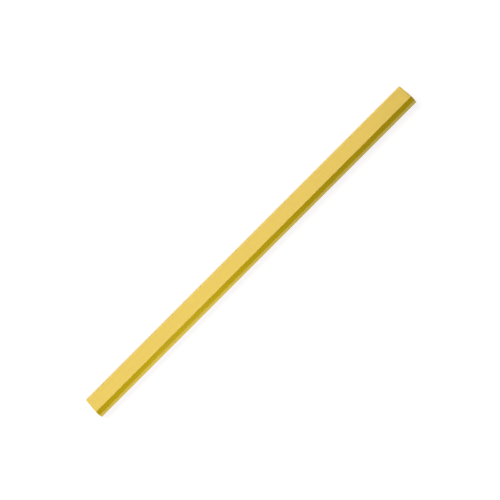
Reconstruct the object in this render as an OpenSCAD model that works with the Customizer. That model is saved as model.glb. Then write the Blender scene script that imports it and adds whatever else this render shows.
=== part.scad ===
// Flat carpenter pencil, unsharpened: two grooved basswood slats glued round a flat graphite
// lead, wrapped in three thin coats and trimmed square at both ends. The length runs along X,
// the broad faces look up and down, and the origin is under the middle of the lower broad face.

/* [Barrel] */
// Length from end to end
barrel_length = 250; // [150:5:300]
// Width over the two narrow sides, coats included
barrel_width = 14; // [12:0.5:18]
// Thickness over the two broad faces, coats included
barrel_thickness = 7; // [6:0.5:9]
// Leg of the 45 degree bevel along each of the four long edges
bevel_leg = 2; // [0.8:0.1:2.4]

/* [Lead] */
// Width of the flat lead, which is also the width of the groove in each slat
lead_width = 5; // [3:0.5:6]
// Thickness of the flat lead
lead_thickness = 2; // [1.5:0.25:2.5]

/* [Glue] */
// Thickness of the glue film between the two slats
seam_film = 0.05; // [0.02:0.01:0.15]
// Thickness of the glue bed between the lead and the floor of each groove
lead_bed = 0.08; // [0.02:0.01:0.2]

/* [Coats] */
// Thickness of the pale undercoat that fills and seals the wood
undercoat_film = 0.04; // [0.02:0.01:0.1]
// Thickness of the yellow lacquer
colour_film = 0.06; // [0.02:0.01:0.15]
// Thickness of the clear gloss coat
clear_film = 0.03; // [0.02:0.01:0.1]

/* [Hidden] */

// How far each layer's outer surface lies inside the finished barrel
colour_depth = clear_film;
undercoat_depth = colour_depth + colour_film;
wood_depth = undercoat_depth + undercoat_film;

wood_width = barrel_width - 2 * wood_depth;
groove_depth = lead_thickness / 2 + lead_bed - seam_film / 2;
groove_floor = lead_thickness / 2 + lead_bed;
seam_width = (wood_width - lead_width) / 2;

// The barrel's outline, a rectangle with its corners bevelled at 45 degrees, shrunk evenly by
// depth. A bevel that moves in by depth meets its neighbours sooner, so its leg gets shorter.
module barrel_outline(depth) {
    half_width = barrel_width / 2 - depth;
    half_height = barrel_thickness / 2 - depth;
    leg = bevel_leg - depth * (2 - sqrt(2));
    polygon([
        for (side = [[1, 1], [-1, 1], [-1, -1], [1, -1]])
            let (
                corner = [side.x * half_width, side.y * half_height],
                along_face = corner - [side.x * leg, 0],
                along_side = corner - [0, side.y * leg]
            )
            each side.x * side.y > 0 ? [along_side, along_face] : [along_face, along_side]
    ]);
}

// Runs a cross-section, drawn about its middle, along the whole length of the barrel.
module full_length() {
    translate([-barrel_length / 2, 0, barrel_thickness / 2])
        rotate([90, 0, 90])
            linear_extrude(barrel_length)
                children();
}

// The half of the wood above the seam, with the upper half of the lead's groove in it.
module slat_section() {
    difference() {
        intersection() {
            barrel_outline(wood_depth);
            translate([-wood_width / 2, seam_film / 2])
                square([wood_width, barrel_thickness / 2]);
        }
        translate([-lead_width / 2, seam_film / 2])
            square([lead_width, groove_depth]);
    }
}

// A sleeve of even thickness between two depths under the finished surface.
module coat_section(outer_depth, inner_depth) {
    difference() {
        barrel_outline(outer_depth);
        barrel_outline(inner_depth);
    }
}

module upper_slat() {
    color("burlywood")
        full_length()
            slat_section();
}

module lower_slat() {
    color("tan")
        full_length()
            mirror([0, 1])
                slat_section();
}

module graphite_lead() {
    color("dimgray")
        full_length()
            square([lead_width, lead_thickness], center = true);
}

// Glue in the seam on one side of the lead: 1 is the left side, seen along +X, and -1 the right.
module seam_glue(side) {
    color("wheat")
        full_length()
            translate([side * (lead_width + seam_width) / 2, 0])
                square([seam_width, seam_film], center = true);
}

// Glue that beds the lead in one groove: 1 is above the lead and -1 is below it.
module lead_glue(side) {
    color("cornsilk")
        full_length()
            translate([0, side * (lead_thickness / 2 + groove_floor) / 2])
                square([lead_width, lead_bed], center = true);
}

module undercoat() {
    color("ivory")
        full_length()
            coat_section(undercoat_depth, wood_depth);
}

module colour_coat() {
    color("gold")
        full_length()
            coat_section(colour_depth, undercoat_depth);
}

module clear_coat() {
    color("khaki", 0.4)
        full_length()
            coat_section(0, colour_depth);
}

upper_slat();
lower_slat();
graphite_lead();
seam_glue(1);  // left_seam_glue
seam_glue(-1);  // right_seam_glue
lead_glue(1);  // upper_lead_glue
lead_glue(-1);  // lower_lead_glue
undercoat();
colour_coat();
clear_coat();
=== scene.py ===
"""Looks of the flat carpenter pencil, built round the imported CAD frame.

Everything is in metres, in the CAD frame: +X along the pencil, +Z up, the origin under its middle.
The lacquer, the undercoat, the wood and the lead are new meshes that stand for their CAD nodes. The
glue films keep their CAD shape and get a material.
"""

import math

import bpy
from mathutils import Matrix, Vector, noise


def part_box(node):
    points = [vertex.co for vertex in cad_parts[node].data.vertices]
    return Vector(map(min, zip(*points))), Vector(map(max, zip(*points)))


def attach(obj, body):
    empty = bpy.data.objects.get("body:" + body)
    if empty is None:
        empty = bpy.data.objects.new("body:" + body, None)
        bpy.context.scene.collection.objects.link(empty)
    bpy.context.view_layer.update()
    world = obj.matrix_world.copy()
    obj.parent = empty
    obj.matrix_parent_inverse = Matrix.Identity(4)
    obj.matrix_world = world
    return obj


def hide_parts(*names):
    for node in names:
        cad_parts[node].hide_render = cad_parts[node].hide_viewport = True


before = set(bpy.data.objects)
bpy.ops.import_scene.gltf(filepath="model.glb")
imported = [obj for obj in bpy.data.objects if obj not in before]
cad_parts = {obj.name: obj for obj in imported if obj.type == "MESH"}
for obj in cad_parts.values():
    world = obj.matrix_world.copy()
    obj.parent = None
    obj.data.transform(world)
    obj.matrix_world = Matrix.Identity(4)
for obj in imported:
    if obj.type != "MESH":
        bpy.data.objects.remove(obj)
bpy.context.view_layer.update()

MM = 0.001

# ---------------------------------------------------------------- sizes, read from the CAD frame

BARREL_LOW, BARREL_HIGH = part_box("clear_coat")
HALF_LENGTH = BARREL_HIGH.x
HALF_WIDTH = BARREL_HIGH.y
HALF_HEIGHT = (BARREL_HIGH.z - BARREL_LOW.z) / 2
MIDDLE = (BARREL_HIGH.z + BARREL_LOW.z) / 2
UNDERCOAT_DEPTH = HALF_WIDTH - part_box("undercoat")[1].y
WOOD_DEPTH = HALF_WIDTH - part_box("upper_slat")[1].y
LEAD_HALF_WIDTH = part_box("graphite_lead")[1].y
LEAD_HALF_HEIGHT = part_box("graphite_lead")[1].z - MIDDLE
SEAM_HALF_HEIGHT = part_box("upper_slat")[0].z - MIDDLE
GROOVE_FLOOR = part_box("upper_lead_glue")[1].z - MIDDLE


def broad_face_half_width():
    """Half the width of the flat between the bevels, from the CAD barrel's top corners."""
    near_top = BARREL_HIGH.z - 0.01 * MM
    corners = [v.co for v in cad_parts["clear_coat"].data.vertices]
    return max(c.y for c in corners if c.z > near_top)


BEVEL_LEG = HALF_WIDTH - broad_face_half_width()

# ---------------------------------------------------------------- sizes of the finish

CORNER_RADIUS = 0.2 * MM         # the lacquer rounds the milled corners a little
CORNER_STEPS = 5
SECTION_STEP = 0.35 * MM         # spacing of points across the flats
LENGTH_STEP = 1.0 * MM           # spacing of rings along the barrel

WAVE_DEPTH = 0.006 * MM          # mean depth of the long waves that the milling left
WAVE_LENGTH = 22 * MM
WAVE_WIDTH = 5 * MM
FLOW_DEPTH = 0.002 * MM          # mean depth of the finer waves in the lacquer film
FLOW_LENGTH = 4 * MM
FLOW_WIDTH = 2.5 * MM
FLOW_OFFSET = Vector((7, 3, 1))  # keeps the two kinds of waves from lining up

LIP_RADIUS = 0.05 * MM           # rounding of the lacquer where the saw cut it
LIP_STEPS = [0.0, 0.3, 0.65, 1.0]    # where the lip's rings lie, as shares of its radius from the cut
CHIP_DEPTH = 0.16 * MM           # how far back the saw chipped the lacquer's edge, at most
CHIP_SPACING = 1.1 * MM
CHIP_LIMIT = 0.12                # noise under this leaves the edge whole
CHIP_SEED = 20

GRID_STEP = 0.16 * MM            # mesh spacing on the wood's cut ends
LEAD_GRID_STEP = 0.1 * MM        # mesh spacing on the lead's cut ends
SAW_CENTRE = Vector((-21 * MM, -34 * MM))
SAW_PITCH = 0.62 * MM            # spacing of the arcs that the saw left
SAW_DEPTH = 0.022 * MM
SAW_DRIFT = 2.4                  # how far the arcs wander from true circles, in radians of their pitch
SAW_DRIFT_SIZE = 3 * MM
FUZZ_DEPTH = 0.012 * MM          # roughness of the sawn surface
FUZZ_SIZE = 0.22 * MM
FUZZ_SEED = 9


# ---------------------------------------------------------------- the barrel's cross-section

def rounded_outline():
    """Points round the finished barrel, each (position, outward normal), anticlockwise seen from +X.

    A layer that lies depth deeper passes through position - normal * depth at every point.
    """
    side = HALF_HEIGHT - BEVEL_LEG
    flat = HALF_WIDTH - BEVEL_LEG
    corners = [
        Vector((HALF_WIDTH, -side)), Vector((HALF_WIDTH, side)),
        Vector((flat, HALF_HEIGHT)), Vector((-flat, HALF_HEIGHT)),
        Vector((-HALF_WIDTH, side)), Vector((-HALF_WIDTH, -side)),
        Vector((-flat, -HALF_HEIGHT)), Vector((flat, -HALF_HEIGHT)),
    ]
    turn = math.radians(45)
    cut_back = CORNER_RADIUS * math.tan(turn / 2)
    points = []
    for i, corner in enumerate(corners):
        after = corners[(i + 1) % len(corners)]
        heading = (corner - corners[i - 1]).normalized()
        normal = Vector((heading.y, -heading.x))
        centre = corner - heading * cut_back - normal * CORNER_RADIUS
        for k in range(CORNER_STEPS + 1):
            spin = Matrix.Rotation(turn * k / CORNER_STEPS, 2)
            points.append((centre + spin @ normal * CORNER_RADIUS, spin @ normal))
        run = after - corner
        start = corner + run.normalized() * cut_back
        length = run.length - 2 * cut_back
        count = max(2, round(length / SECTION_STEP))
        out = Vector((run.normalized().y, -run.normalized().x))
        for k in range(1, count):
            points.append((start + run.normalized() * length * k / count, out))
    return points


OUTLINE = rounded_outline()


def surface_ripple(x, point):
    """How far the lacquer's surface dips below the ideal barrel, at x and a point of the outline."""
    wave_place = Vector((x / WAVE_LENGTH, point.x / WAVE_WIDTH, point.y / WAVE_WIDTH))
    flow_place = Vector((x / FLOW_LENGTH, point.x / FLOW_WIDTH, point.y / FLOW_WIDTH))
    waves = WAVE_DEPTH * (1 + noise.noise(wave_place))
    flow = FLOW_DEPTH * (1 + noise.noise(flow_place + FLOW_OFFSET))
    return waves + flow


def chip_depth(side, point):
    """How far a chip sets the lacquer's edge back from the cut, at a point of the outline."""
    place = Vector((point.x / CHIP_SPACING, point.y / CHIP_SPACING, CHIP_SEED + side))
    return CHIP_DEPTH * max(0.0, noise.noise(place) - CHIP_LIMIT)


def end_relief(y, z, seed):
    """Depth below the ideal cut plane: the saw's arcs, and the fuzz that its teeth leave."""
    radius = (Vector((y, z)) - SAW_CENTRE).length
    drift = noise.noise(Vector((y / SAW_DRIFT_SIZE, z / SAW_DRIFT_SIZE, seed)))
    arc = 0.5 + 0.5 * math.sin(2 * math.pi * radius / SAW_PITCH + SAW_DRIFT * drift)
    fuzz = noise.noise(Vector((y / FUZZ_SIZE, z / FUZZ_SIZE, seed + FUZZ_SEED)))
    return SAW_DEPTH * arc * (0.75 + 0.25 * drift) + FUZZ_DEPTH * (0.5 + 0.5 * fuzz)


# ---------------------------------------------------------------- mesh builders

def new_piece(name, vertices, faces, smooth):
    mesh = bpy.data.meshes.new(name)
    mesh.from_pydata([tuple(v) for v in vertices], [], faces)
    mesh.validate()
    mesh.polygons.foreach_set("use_smooth", [smooth] * len(mesh.polygons))
    piece = bpy.data.objects.new(name, mesh)
    bpy.context.scene.collection.objects.link(piece)
    return piece


def sleeve(name, wall):
    """A closed sleeve round the barrel.

    wall is its lengthwise section, a closed loop of rings. A ring is a pair of functions: one gives x
    at a point of the outline, and the other the depth under the finished barrel at that x and point.
    """
    vertices = []
    for x_at, depth_at in wall:
        for position, normal in OUTLINE:
            x = x_at(position)
            p = position - normal * depth_at(x, position)
            vertices.append((x, p.x, MIDDLE + p.y))
    n = len(OUTLINE)
    faces = []
    for ring in range(len(wall)):
        following = (ring + 1) % len(wall)
        for k in range(n):
            j = (k + 1) % n
            faces.append((ring * n + k, ring * n + j, following * n + j, following * n + k))
    return new_piece(name, vertices, faces, True)


def block(name, points, cells, seeds):
    """A closed bar along the barrel with points and cells as the mesh of both its cut ends."""
    n = len(points)
    vertices = []
    for side, seed in zip((-1, 1), seeds):
        for y, z in points:
            vertices.append((side * (HALF_LENGTH - end_relief(y, z, seed)), y, MIDDLE + z))
    faces = [tuple(reversed(c)) for c in cells] + [tuple(i + n for i in c) for c in cells]
    edges = {(c[k], c[(k + 1) % len(c)]) for c in cells for k in range(len(c))}
    for a, b in sorted(edges):
        if (b, a) not in edges:
            faces.append((a, b, b + n, a + n))
    return new_piece(name, vertices, faces, False)


def spread(stops, step):
    """Numbers from the first stop to the last that pass through every stop, about step apart."""
    numbers = [stops[0]]
    for low, high in zip(stops, stops[1:]):
        count = max(1, round((high - low) / step))
        numbers += [low + (high - low) * k / count for k in range(1, count + 1)]
    return numbers


def wood_top(y):
    """Height of the wood's outline over the seam's middle, at y across the barrel."""
    inside_edge = HALF_WIDTH - WOOD_DEPTH - 0.001 * MM
    y = min(abs(y), inside_edge)
    outline = [p - n * WOOD_DEPTH for p, n in OUTLINE]
    for right, left in zip(outline, outline[1:]):
        if left.x <= y < right.x and right.y > 0:
            return left.y + (right.y - left.y) * (y - left.x) / (right.x - left.x)
    raise ValueError("no wood at that y")


def slat(name, side, seeds):
    """Half of the wood: side 1 lies above the seam and -1 below it.

    Its end is a grid. The low rows are level and stop at the lead's groove. The high rows start at
    the groove's floor and spread evenly up to the outline.
    """
    edge = HALF_WIDTH - WOOD_DEPTH
    bevel = edge - BEVEL_LEG
    stops = [-edge, -bevel, -LEAD_HALF_WIDTH, LEAD_HALF_WIDTH, bevel, edge]
    columns = spread(stops, GRID_STEP)
    low_rows = spread([SEAM_HALF_HEIGHT, GROOVE_FLOOR], GRID_STEP)
    high_rows = spread([0.0, 1.0], GRID_STEP / (HALF_HEIGHT - GROOVE_FLOOR))
    points, cells, index = [], [], {}

    def corner(i, j):
        """The index of the point in column i and row j, which is made when first asked for."""
        if (i, j) not in index:
            if j < len(low_rows):
                z = low_rows[j]
            else:
                share = high_rows[j - len(low_rows) + 1]
                z = GROOVE_FLOOR + (wood_top(columns[i]) - GROOVE_FLOOR) * share
            index[i, j] = len(points)
            points.append((columns[i], side * z))
        return index[i, j]

    for i in range(len(columns) - 1):
        over_lead = abs(columns[i] + columns[i + 1]) / 2 < LEAD_HALF_WIDTH
        first_row = len(low_rows) - 1 if over_lead else 0
        for j in range(first_row, len(low_rows) + len(high_rows) - 2):
            cell = (corner(i, j), corner(i + 1, j), corner(i + 1, j + 1), corner(i, j + 1))
            cells.append(cell if side > 0 else tuple(reversed(cell)))
    return block(name, points, cells, seeds)


def lead(name, seeds):
    columns = spread([-LEAD_HALF_WIDTH, LEAD_HALF_WIDTH], LEAD_GRID_STEP)
    rows = spread([-LEAD_HALF_HEIGHT, LEAD_HALF_HEIGHT], LEAD_GRID_STEP)
    points = [(y, z) for y in columns for z in rows]
    n = len(rows)
    cells = [
        (i * n + j, (i + 1) * n + j, (i + 1) * n + j + 1, i * n + j + 1)
        for i in range(len(columns) - 1)
        for j in range(n - 1)
    ]
    return block(name, points, cells, seeds)


# ---------------------------------------------------------------- colours and patterns

# A pattern is noise. Its three numbers are its waves per millimetre along, across and up the pencil.

LACQUER = (0.592, 0.430, 0.0020, 1)
LACQUER_PALE = (0.614, 0.446, 0.0024, 1)
LACQUER_DEEP = (0.560, 0.407, 0.0020, 1)
LACQUER_RUBBED = (0.40, 0.34, 0.12, 1)
LACQUER_CLOUDS = (0.05, 0.2, 0.2)
LACQUER_FIBRES = (0.03, 2.4, 2.4)    # the wood's fibres, which show faintly through the coats
LACQUER_PEEL = (0.7, 0.7, 0.7)
LACQUER_SMUDGES = (0.03, 0.3, 0.3)
LACQUER_GLOSS = (0.15, 0.20)         # roughness of the glossiest and of the dullest places
RUB_PATCHES = (0.25, 0.9, 0.9)
RUB_WIDTH = 0.25                     # millimetres from a long corner that handling has dulled
RUB_WIDTH_AT_END = 0.5               # the same from a cut end
RUB_STRENGTH = 0.45
RUB_ROUGHNESS = 0.2                  # what rubbing adds to the roughness

UPPER_WOOD = {"light": (0.66, 0.49, 0.30, 1), "dark": (0.47, 0.315, 0.165, 1), "pith": (14, -62)}
LOWER_WOOD = {"light": (0.63, 0.455, 0.265, 1), "dark": (0.44, 0.285, 0.14, 1), "pith": (-38, 48)}
WOOD_RAY = (0.74, 0.59, 0.40, 1)
WOOD_PORE = (0.27, 0.165, 0.08, 1)
WOOD_STRETCH = 0.02                  # how slowly the rings change along the pencil
WOOD_WANDER = (0.006, 0.3, 0.3)
WOOD_FIBRES = (0.05, 7, 7)
WOOD_BLUSH = (0.02, 0.25, 0.25)
WOOD_CELLS = (0.15, 12, 12)
RING_SPACING = 1.9                   # millimetres between growth rings
RAY_SPACING = 0.16                   # millimetres between rays

GRAPHITE_DARK = (0.028, 0.029, 0.032, 1)
GRAPHITE_LIGHT = (0.085, 0.086, 0.092, 1)
GRAPHITE_SMEARED = (0.15, 0.15, 0.16, 1)
GRAPHITE_GRAINS = (9, 9, 9)
GRAPHITE_SMEARS = (1.2, 4.8, 0.6)

UNDERCOAT_LIGHT = (0.80, 0.74, 0.52, 1)
UNDERCOAT_DARK = (0.72, 0.64, 0.42, 1)
UNDERCOAT_ROUGHNESS = 0.6
GLUE_LIGHT = (0.66, 0.52, 0.27, 1)
GLUE_DARK = (0.52, 0.38, 0.17, 1)
GLUE_ROUGHNESS = 0.42
FILM_MOTTLE = (2.5, 2.5, 2.5)
FILM_GRIT = (14, 14, 14)

FLOOR_DULL = (0.196, 0.196, 0.196, 1)
FLOOR_BRIGHT = (0.204, 0.204, 0.204, 1)
FLOOR_TOOTH = (0.4, 0.4, 0.4)
FLOOR_GLOW = 0.89                    # it is a lit white panel, which keeps shadows faint
FLOOR_GLOW_COLOUR = (0.955, 0.955, 1, 1)    # a little blue, which the warm soft box makes up to white


# ---------------------------------------------------------------- shader nodes

def put(tree, value, socket):
    """Sets a socket to a plain value, or links it to another socket."""
    if isinstance(value, bpy.types.NodeSocket):
        tree.links.new(value, socket)
    else:
        socket.default_value = value


def add_node(tree, kind, inputs, **settings):
    node = tree.nodes.new("ShaderNode" + kind)
    for key, value in settings.items():
        setattr(node, key, value)
    for socket, value in inputs.items():
        put(tree, value, node.inputs[socket])
    return node


class Shader:
    """One material with a single Principled shader, and short calls that add nodes to it."""

    def __init__(self, name, sockets):
        self.material = bpy.data.materials.new(name)
        self.material.use_nodes = True
        self.tree = self.material.node_tree
        self.surface = self.tree.nodes["Principled BSDF"]
        self.finish(sockets)

    def add(self, kind, inputs, **settings):
        return add_node(self.tree, kind, inputs, **settings)

    def millimetres(self, stretch=(1, 1, 1)):
        """Place on the pencil in millimetres, with each axis multiplied by stretch."""
        place = self.add("TexCoord", {}).outputs["Object"]
        scale = tuple(s / MM for s in stretch)
        return self.add("Mapping", {"Vector": place, "Scale": scale}).outputs["Vector"]

    def split(self, vector):
        """The three parts of a vector, each as its own socket."""
        return self.add("SeparateXYZ", {0: vector}).outputs

    def noise_at(self, place, detail, roughness=0.5):
        inputs = {"Vector": place, "Scale": 1.0, "Detail": detail, "Roughness": roughness}
        return self.add("TexNoise", inputs).outputs["Fac"]

    def noise(self, pattern, detail=3.0, roughness=0.5):
        return self.noise_at(self.millimetres(pattern), detail, roughness)

    def ramp(self, factor, low, high, start=0.0, end=1.0):
        """Runs from low to high while factor runs from start to end, and is level outside that."""
        inputs = {0: factor, 1: start, 2: end, 3: low, 4: high}
        return self.add("MapRange", inputs).outputs[0]

    def mix(self, factor, a, b):
        inputs = {0: factor, 6: a, 7: b}
        return self.add("Mix", inputs, data_type="RGBA").outputs[2]

    def tint(self, colour, towards, amount, strength):
        """Moves a colour towards another by amount times strength."""
        return self.mix(self.math("MULTIPLY", amount, strength), colour, towards)

    def math(self, operation, a, b=0.0):
        return self.add("Math", {0: a, 1: b}, operation=operation).outputs[0]

    def bump(self, height, depth, strength, normal=None):
        """Bumps depth millimetres high, on top of another bump's normal if there is one."""
        inputs = {"Height": height, "Distance": depth * MM, "Strength": strength}
        if normal is not None:
            inputs["Normal"] = normal
        return self.add("Bump", inputs).outputs["Normal"]

    def finish(self, sockets):
        for name, value in sockets.items():
            put(self.tree, value, self.surface.inputs[name])
        return self.material


# ---------------------------------------------------------------- materials

def edge_rub(s):
    """How much a point of the lacquer is rubbed, 0 to 1: only near the long corners and the cut ends.

    The barrel's section is where three pairs of planes meet. A point on it lies on one of them, and it
    is near a corner where it is also close to a second one.
    """
    x, y, z = s.split(s.millimetres())
    across = s.math("ABSOLUTE", y)
    up = s.math("ABSOLUTE", s.math("SUBTRACT", z, MIDDLE / MM))
    past_side = s.math("SUBTRACT", across, HALF_WIDTH / MM)
    past_face = s.math("SUBTRACT", up, HALF_HEIGHT / MM)
    bevel_sum = (HALF_WIDTH + HALF_HEIGHT - BEVEL_LEG) / MM
    past_bevel_sum = s.math("SUBTRACT", s.math("ADD", across, up), bevel_sum)
    past_bevel = s.math("DIVIDE", past_bevel_sum, math.sqrt(2))
    past_corner = s.math("MINIMUM", past_bevel, s.math("MAXIMUM", past_side, past_face))
    past_end = s.math("SUBTRACT", s.math("ABSOLUTE", x), HALF_LENGTH / MM)
    near_corner = s.ramp(past_corner, 0, 1, start=-RUB_WIDTH, end=0)
    near_end = s.ramp(past_end, 0, 1, start=-RUB_WIDTH_AT_END, end=0)
    patches = s.noise(RUB_PATCHES, detail=4.0, roughness=0.65)
    worn = s.ramp(patches, 0.25, 1, start=0.35, end=0.7)
    return s.math("MULTIPLY", s.math("MAXIMUM", near_corner, near_end), worn)


def lacquer_material():
    s = Shader("yellow_lacquer", {"IOR": 1.5})
    clouds = s.noise(LACQUER_CLOUDS, detail=4.0)
    fibres = s.noise(LACQUER_FIBRES)
    peel = s.noise(LACQUER_PEEL, detail=2.0)
    smudges = s.noise(LACQUER_SMUDGES, detail=2.0)
    rub = edge_rub(s)
    colour = s.mix(s.ramp(clouds, 0, 1, start=0.3, end=0.7), LACQUER, LACQUER_PALE)
    colour = s.mix(s.ramp(fibres, 0, 0.35, start=0.35, end=0.75), colour, LACQUER_DEEP)
    colour = s.tint(colour, LACQUER_RUBBED, rub, RUB_STRENGTH)
    normal = s.bump(fibres, depth=0.0015, strength=0.5)
    normal = s.bump(peel, depth=0.003, strength=0.5, normal=normal)
    gloss = s.ramp(smudges, *LACQUER_GLOSS, start=0.3, end=0.7)
    roughness = s.math("ADD", gloss, s.math("MULTIPLY", rub, RUB_ROUGHNESS))
    return s.finish({"Base Color": colour, "Roughness": roughness, "Normal": normal})


def wood_material(name, light, dark, pith):
    """Basswood: faint rings round the tree's pith, rays out from it, and fine pores spread evenly.

    pith is where the middle of the tree was, in millimetres across and up from the origin.
    """
    s = Shader(name, {"IOR": 1.45})
    place = s.millimetres((WOOD_STRETCH, 1, 1))
    offset = s.add("VectorMath", {0: place, 1: (0, *pith)}, operation="SUBTRACT").outputs[0]
    radius = s.add("VectorMath", {0: offset}, operation="LENGTH").outputs["Value"]
    wander = s.noise(WOOD_WANDER, detail=2.0)
    ring = s.math("FRACT", s.math("DIVIDE", s.math("ADD", radius, wander), RING_SPACING))
    late = s.math("POWER", ring, 2.0)
    ring_line = s.ramp(ring, 0, 1, start=0.9, end=0.98)
    along, across, up = s.split(offset)
    turn = s.math("MULTIPLY", s.math("ARCTAN2", up, across), Vector(pith).length / RAY_SPACING)
    ray_place = s.add("CombineXYZ", {0: turn, 1: radius, 2: along}).outputs[0]
    rays = s.ramp(s.noise_at(ray_place, detail=1.0), 0, 1, start=0.52, end=0.72)
    fibres = s.noise(WOOD_FIBRES)
    blush = s.noise(WOOD_BLUSH, detail=2.0)
    cells = s.add("TexVoronoi", {"Vector": s.millimetres(WOOD_CELLS), "Scale": 1.0})
    pores = s.ramp(cells.outputs["Distance"], 1, 0, start=0.14, end=0.34)
    colour = s.mix(s.ramp(blush, 0, 0.4, start=0.35, end=0.7), light, dark)
    colour = s.tint(colour, dark, late, strength=0.45)
    colour = s.tint(colour, dark, ring_line, strength=0.55)
    colour = s.tint(colour, WOOD_RAY, rays, strength=0.35)
    colour = s.mix(s.ramp(fibres, 0, 0.45, start=0.4, end=0.8), colour, dark)
    colour = s.tint(colour, WOOD_PORE, pores, strength=0.4)
    normal = s.bump(pores, depth=-0.02, strength=0.6)
    normal = s.bump(ring_line, depth=0.02, strength=0.4, normal=normal)
    roughness = s.ramp(fibres, 0.62, 0.85)
    return s.finish({"Base Color": colour, "Roughness": roughness, "Normal": normal})


def graphite_material():
    s = Shader("graphite", {"Metallic": 0.25, "IOR": 1.6})
    grains = s.noise(GRAPHITE_GRAINS, roughness=0.7)
    smears = s.noise(GRAPHITE_SMEARS)
    colour = s.mix(grains, GRAPHITE_DARK, GRAPHITE_LIGHT)
    colour = s.mix(s.ramp(smears, 0, 0.4, start=0.45, end=0.8), colour, GRAPHITE_SMEARED)
    roughness = s.ramp(smears, 0.52, 0.3)
    normal = s.bump(grains, depth=0.01, strength=0.6)
    return s.finish({"Base Color": colour, "Roughness": roughness, "Normal": normal})


def film_material(name, light, dark, roughness):
    """Dried glue or undercoat: a thin film seen only at the cut ends."""
    s = Shader(name, {"IOR": 1.45})
    mottle = s.noise(FILM_MOTTLE)
    grit = s.noise(FILM_GRIT, detail=2.0)
    colour = s.mix(s.ramp(mottle, 0, 1, start=0.3, end=0.7), light, dark)
    rough = s.ramp(grit, roughness - 0.08, roughness + 0.08)
    normal = s.bump(grit, depth=0.005, strength=0.5)
    return s.finish({"Base Color": colour, "Roughness": rough, "Normal": normal})


def floor_material():
    s = Shader("pale_floor", {"Emission Color": FLOOR_GLOW_COLOUR, "Emission Strength": FLOOR_GLOW})
    tooth = s.noise(FLOOR_TOOTH, detail=2.0)
    colour = s.mix(tooth, FLOOR_DULL, FLOOR_BRIGHT)
    return s.finish({"Base Color": colour, "Roughness": s.ramp(tooth, 0.85, 0.95)})


# ---------------------------------------------------------------- the pieces

def ring_at(x, depth_at):
    """A ring of a sleeve that lies square across the barrel at x."""
    return (lambda point: x), depth_at


def even(depth):
    """The same depth all the way round."""
    return lambda x, point: depth


def lip_ring(side, step):
    """A ring of the rounded lip at one cut end, step of the lip's radius in from the cut."""
    inwards = LIP_RADIUS * step
    drop = LIP_RADIUS * (1 - math.sqrt(1 - (1 - step) ** 2))
    return (
        lambda point: side * (HALF_LENGTH - inwards - chip_depth(side, point)),
        lambda x, point: surface_ripple(x, point) + drop,
    )


def make_lacquer():
    last_ring = HALF_LENGTH - LENGTH_STEP
    start_lip = [lip_ring(-1, step) for step in LIP_STEPS]
    outer = [ring_at(x, surface_ripple) for x in spread([-last_ring, last_ring], LENGTH_STEP)]
    end_lip = [lip_ring(1, step) for step in reversed(LIP_STEPS)]
    inner = [ring_at(x, even(UNDERCOAT_DEPTH)) for x in (HALF_LENGTH, -HALF_LENGTH)]
    piece = sleeve("lacquer", start_lip + outer + end_lip + inner)
    piece.data.materials.append(lacquer_material())
    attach(piece, "root")
    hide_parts("colour_coat", "clear_coat")


def make_undercoat():
    outer = [ring_at(x, even(UNDERCOAT_DEPTH)) for x in (-HALF_LENGTH, HALF_LENGTH)]
    inner = [ring_at(x, even(WOOD_DEPTH)) for x in (HALF_LENGTH, -HALF_LENGTH)]
    piece = sleeve("undercoat_film", outer + inner)
    piece.data.materials.append(
        film_material("undercoat", UNDERCOAT_LIGHT, UNDERCOAT_DARK, UNDERCOAT_ROUGHNESS)
    )
    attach(piece, "root")
    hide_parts("undercoat")


def make_slat(node, slot, side, wood, seeds):
    """One slat, with a seed for the relief of each of its two ends."""
    piece = slat(slot, side, seeds)
    piece.data.materials.append(wood_material(slot, **wood))
    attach(piece, "root")
    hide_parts(node)


def make_lead():
    piece = lead("lead", (5.0, 6.0))
    piece.data.materials.append(graphite_material())
    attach(piece, "root")
    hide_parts("graphite_lead")


def dress_glue():
    glue = film_material("dried_glue", GLUE_LIGHT, GLUE_DARK, GLUE_ROUGHNESS)
    for node in ("left_seam_glue", "right_seam_glue", "upper_lead_glue", "lower_lead_glue"):
        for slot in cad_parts[node].material_slots:
            slot.material = glue


make_lacquer()
make_undercoat()
make_slat("upper_slat", "upper_wood", 1, UPPER_WOOD, (1.0, 2.0))
make_slat("lower_slat", "lower_wood", -1, LOWER_WOOD, (3.0, 4.0))
make_lead()
dress_glue()

# ---------------------------------------------------------------- floor, light and camera

FLOOR_HALF = 6.0

SOFT_BOX_TILT = math.radians(34)      # from straight above, towards +Y
SOFT_BOX_SWING = math.radians(-15.3)  # sideways from there, negative towards -X
SOFT_BOX_HALF = math.radians(24)      # half the angle that the box covers
SOFT_BOX_FADE = math.radians(8)       # softness of its rim
SOFT_BOX_LIGHT = 6.3
SOFT_BOX_COLOUR = (1.0, 0.873, 0.512, 1)
WALL_TOP = math.radians(8.5)          # above this height the walls are dark
WALL_FULL = math.radians(6)           # and below this one they are evenly lit
WALL_LIGHT = 0.75
ROOM_LIGHT = 0.06

FILL_AT = Vector((-75, -145, 29)) * MM
FILL_AIM = Vector((-38, 0, 3)) * MM
FILL_WIDTH = 70 * MM
FILL_HEIGHT = 50 * MM
FILL_POWER = 0.108

CAMERA_TILT = math.radians(32.5)      # how far the view leans from straight down, towards -Y
CAMERA_ROLL = math.radians(45.04)     # the pencil rises to the right at this angle
CAMERA_DISTANCE = 0.94
FIELD_OF_VIEW = math.radians(17.04)
AIM_SHIFT = Vector((-0.4, 0.66, 0)) * MM    # of the camera, along its own right and up


def make_floor():
    corners = [(-1, -1), (1, -1), (1, 1), (-1, 1)]
    vertices = [(x * FLOOR_HALF, y * FLOOR_HALF, 0) for x, y in corners]
    floor = new_piece("floor", vertices, [(0, 1, 2, 3)], False)
    floor.data.materials.append(floor_material())


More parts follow.
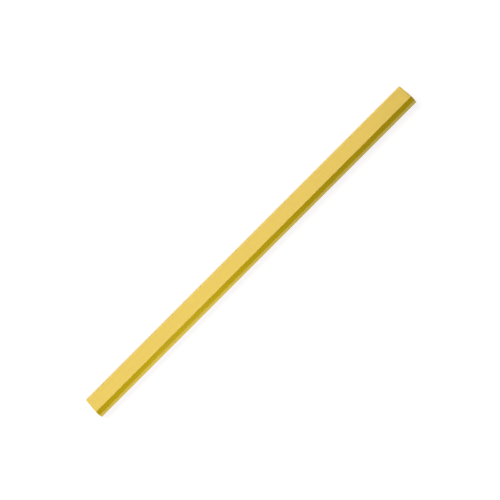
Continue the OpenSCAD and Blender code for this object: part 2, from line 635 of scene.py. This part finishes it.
def make_room():
    """A dim room with pale walls and one large warm soft box above and behind the pencil."""
    world = bpy.data.worlds.new("studio")
    bpy.context.scene.world = world
    world.use_nodes = True
    tree = world.node_tree

    def fade(value, none_at, full_at, full, none=0.0):
        inputs = {0: value, 1: none_at, 2: full_at, 3: none, 4: full}
        return add_node(tree, "MapRange", inputs, interpolation_type="SMOOTHSTEP").outputs[0]

    def calculate(operation, a, b):
        return add_node(tree, "Math", {0: a, 1: b}, operation=operation).outputs[0]

    box_at = Vector((math.tan(SOFT_BOX_SWING), math.sin(SOFT_BOX_TILT), math.cos(SOFT_BOX_TILT)))
    direction = add_node(tree, "TexCoord", {}).outputs["Generated"]
    height = add_node(tree, "SeparateXYZ", {0: direction}).outputs["Z"]
    towards = {0: direction, 1: box_at.normalized()}
    facing = add_node(tree, "VectorMath", towards, operation="DOT_PRODUCT").outputs["Value"]
    outside = math.cos(SOFT_BOX_HALF + SOFT_BOX_FADE)
    inside = math.cos(SOFT_BOX_HALF - SOFT_BOX_FADE)
    share = fade(facing, outside, inside, 1.0)
    walls = fade(height, math.sin(WALL_TOP), math.sin(WALL_FULL), WALL_LIGHT, ROOM_LIGHT)
    light = calculate("ADD", walls, calculate("MULTIPLY", share, SOFT_BOX_LIGHT))
    tint = add_node(tree, "Mix", {0: share, 6: (1, 1, 1, 1), 7: SOFT_BOX_COLOUR}, data_type="RGBA")
    background = tree.nodes["Background"]
    put(tree, tint.outputs[2], background.inputs["Color"])
    put(tree, light, background.inputs["Strength"])


def make_fill_lamp():
    """A small panel close in front, left of the middle, so its light falls off along the pencil."""
    data = bpy.data.lights.new("fill", "AREA")
    data.shape = "RECTANGLE"
    data.size = FILL_WIDTH
    data.size_y = FILL_HEIGHT
    data.energy = FILL_POWER
    lamp = bpy.data.objects.new("fill", data)
    lamp.location = FILL_AT
    lamp.rotation_euler = (FILL_AIM - FILL_AT).to_track_quat("-Z", "Y").to_euler()
    lamp.visible_camera = False
    bpy.context.scene.collection.objects.link(lamp)


def make_camera():
    data = bpy.data.cameras.new("camera")
    data.lens = data.sensor_width / 2 / math.tan(FIELD_OF_VIEW / 2)
    camera = bpy.data.objects.new("camera", data)
    turn = Matrix.Rotation(CAMERA_TILT, 4, "X") @ Matrix.Rotation(-CAMERA_ROLL, 4, "Z")
    aim = Vector((0, 0, MIDDLE)) + turn.to_3x3() @ AIM_SHIFT
    back = turn.to_3x3() @ Vector((0, 0, CAMERA_DISTANCE))
    camera.matrix_world = Matrix.Translation(aim + back) @ turn
    bpy.context.scene.collection.objects.link(camera)
    bpy.context.scene.camera = camera


make_floor()
make_room()
make_fill_lamp()
make_camera()
bpy.context.scene.view_settings.view_transform = "Standard"
